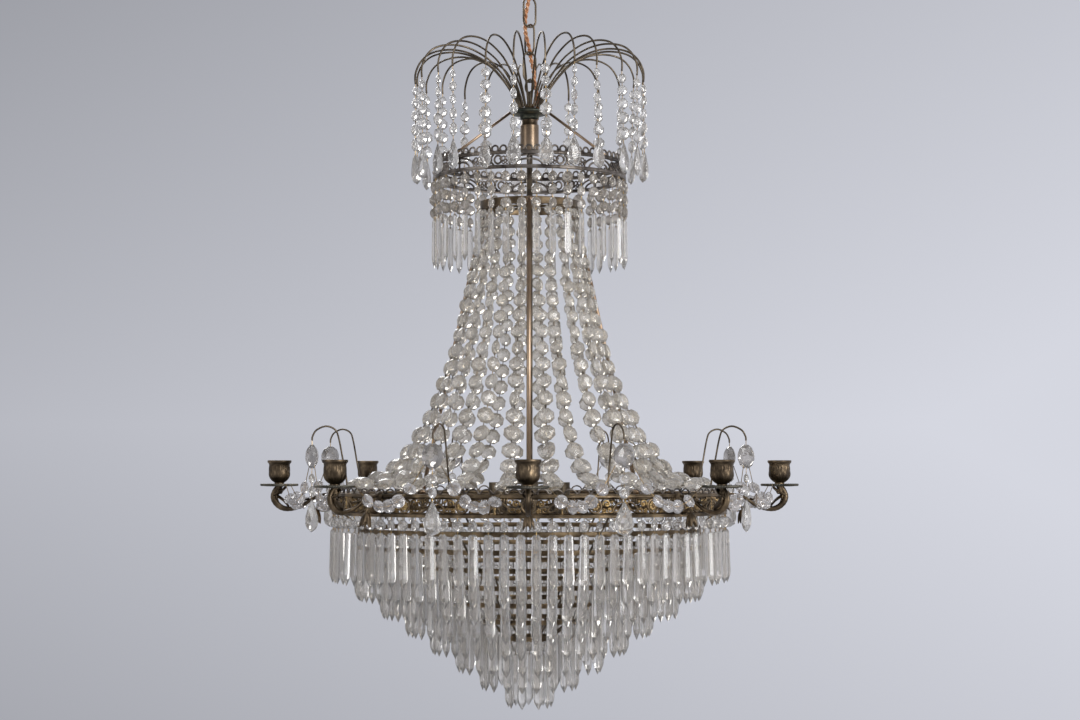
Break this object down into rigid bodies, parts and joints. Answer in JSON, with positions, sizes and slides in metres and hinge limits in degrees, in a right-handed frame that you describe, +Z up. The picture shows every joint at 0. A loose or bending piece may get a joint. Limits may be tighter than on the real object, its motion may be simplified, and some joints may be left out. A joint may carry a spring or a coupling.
{
  "type": "crystal chandelier",
  "caption": "Crystal chandelier hung on a chain: crown, tent of bead strands, two pierced brass galleries, candle arms with swags and a basket of prism tiers.",
  "frame": {"origin": "middle of the ceiling plate's upper face, where it meets the ceiling", "axes": "+Z up along the chain and stem, so the chandelier lies below zero; -Y is the front, where the picture is taken from; +X is the picture's right"},
  "size_m": [0.778, 0.778, 1.1102],
  "materials": {
    "plated_steel": "zinc plated",
    "dark_bronze": "dark patinated brass",
    "aged_brass": "aged brass",
    "gilt_brass": "worn gilt brass",
    "olive_brass": "dull olive patina",
    "copper_flex": "twisted flex, copper coloured",
    "crystal": "cut crystal, clear",
    "dusty_crystal": "cut crystal, dusty and warm",
    "frosted_crystal": "cut crystal, slightly frosted"
  },
  "bodies": {
    "ceiling": {"ceiling_plate": "plated_steel", "ceiling_hook": "dark_bronze", "flex": "copper_flex"},
    "canopy": {"canopy": "aged_brass", "canopy_grip": "gilt_brass"},
    "link_1": {"chain_link_1": "dark_bronze"},
    "link_2": {"chain_link_2": "dark_bronze"},
    "link_3": {"chain_link_3": "dark_bronze"},
    "link_4": {"chain_link_4": "dark_bronze"},
    "chandelier": {"stem_eye": "dark_bronze", "stem_sleeve": "aged_brass", "stem_rod": "dark_bronze", "collar": "aged_brass", "collar_nut": "gilt_brass", "crown_wires": "dark_bronze", "crown_strings": "crystal", "upper_struts": "aged_brass", "upper_bands": "aged_brass", "upper_frieze": "gilt_brass", "upper_fringe": "crystal", "strand_ring": "aged_brass", "suspension_rods": "gilt_brass", "bead_strands": "dusty_crystal", "lamp_cluster": "gilt_brass", "main_bands": "aged_brass", "main_frieze": "gilt_brass", "gallery_scallops": "gilt_brass", "spider": "aged_brass", "basket_rings": "aged_brass", "basket_ribs": "aged_brass", "tier_drops_1": "crystal", "tier_drops_2": "crystal", "tier_drops_3": "crystal", "tier_drops_4": "crystal", "tier_drops_5": "crystal", "tier_drops_6": "crystal", "tier_drops_7": "crystal", "tier_drops_8": "crystal", "candle_arm_1": "aged_brass", "candle_arm_2": "aged_brass", "candle_arm_3": "aged_brass", "candle_arm_4": "aged_brass", "candle_arm_5": "aged_brass", "candle_arm_6": "aged_brass", "candle_arm_7": "aged_brass", "candle_arm_8": "aged_brass", "candle_cups": "gilt_brass", "drip_pans": "olive_brass", "spray_wires": "dark_bronze", "spray_plates": "crystal", "swags": "frosted_crystal"},
    "pendant_1": {"spray_pendant_1": "crystal"},
    "pendant_2": {"spray_pendant_2": "crystal"},
    "pendant_3": {"spray_pendant_3": "crystal"},
    "pendant_4": {"spray_pendant_4": "crystal"},
    "pendant_5": {"spray_pendant_5": "crystal"},
    "pendant_6": {"spray_pendant_6": "crystal"},
    "pendant_7": {"spray_pendant_7": "crystal"},
    "pendant_8": {"spray_pendant_8": "crystal"}
  },
  "joints": [
    {"name": "canopy_slide", "type": "slide", "parent": "ceiling", "child": "canopy", "axis": [0, 0, 1], "range_m": [-0.025, 0]},
    {"name": "link_1_swing", "type": "hinge", "parent": "ceiling", "child": "link_1", "pos_m": [0, 0, -0.038], "axis": [0.7986, 0.6018, 0], "range_deg": [-5, 5], "deforming": ["flex"]},
    {"name": "link_2_swing", "type": "hinge", "parent": "link_1", "child": "link_2", "pos_m": [0, 0, -0.0786], "axis": [-0.6018, 0.7986, 0], "range_deg": [-10, 10], "deforming": ["flex"]},
    {"name": "link_3_swing", "type": "hinge", "parent": "link_2", "child": "link_3", "pos_m": [0, 0, -0.1192], "axis": [-0.7986, -0.6018, 0], "range_deg": [-10, 10], "deforming": ["flex"]},
    {"name": "link_4_swing", "type": "hinge", "parent": "link_3", "child": "link_4", "pos_m": [0, 0, -0.1598], "axis": [0.6018, -0.7986, 0], "range_deg": [-10, 10], "deforming": ["flex"]},
    {"name": "chandelier_swing", "type": "hinge", "parent": "link_4", "child": "chandelier", "pos_m": [0, 0, -0.2004], "axis": [0.7986, 0.6018, 0], "range_deg": [-10, 10], "deforming": ["flex"]},
    {"name": "pendant_1_swing", "type": "hinge", "parent": "chandelier", "child": "pendant_1", "pos_m": [0.12476, -0.30118, -0.7702], "axis": [-0.9239, -0.3827, 0], "range_deg": [-15, 45]},
    {"name": "pendant_2_swing", "type": "hinge", "parent": "chandelier", "child": "pendant_2", "pos_m": [0.30118, -0.12476, -0.7702], "axis": [-0.3827, -0.9239, 0], "range_deg": [-15, 45]},
    {"name": "pendant_3_swing", "type": "hinge", "parent": "chandelier", "child": "pendant_3", "pos_m": [0.30118, 0.12476, -0.7702], "axis": [0.3827, -0.9239, 0], "range_deg": [-15, 45]},
    {"name": "pendant_4_swing", "type": "hinge", "parent": "chandelier", "child": "pendant_4", "pos_m": [0.12476, 0.30118, -0.7702], "axis": [0.9239, -0.3827, 0], "range_deg": [-15, 45]},
    {"name": "pendant_5_swing", "type": "hinge", "parent": "chandelier", "child": "pendant_5", "pos_m": [-0.12476, 0.30118, -0.7702], "axis": [0.9239, 0.3827, 0], "range_deg": [-15, 45]},
    {"name": "pendant_6_swing", "type": "hinge", "parent": "chandelier", "child": "pendant_6", "pos_m": [-0.30118, 0.12476, -0.7702], "axis": [0.3827, 0.9239, 0], "range_deg": [-15, 45]},
    {"name": "pendant_7_swing", "type": "hinge", "parent": "chandelier", "child": "pendant_7", "pos_m": [-0.30118, -0.12476, -0.7702], "axis": [-0.3827, 0.9239, 0], "range_deg": [-15, 45]},
    {"name": "pendant_8_swing", "type": "hinge", "parent": "chandelier", "child": "pendant_8", "pos_m": [-0.12476, -0.30118, -0.7702], "axis": [-0.9239, 0.3827, 0], "range_deg": [-15, 45]}
  ]
}
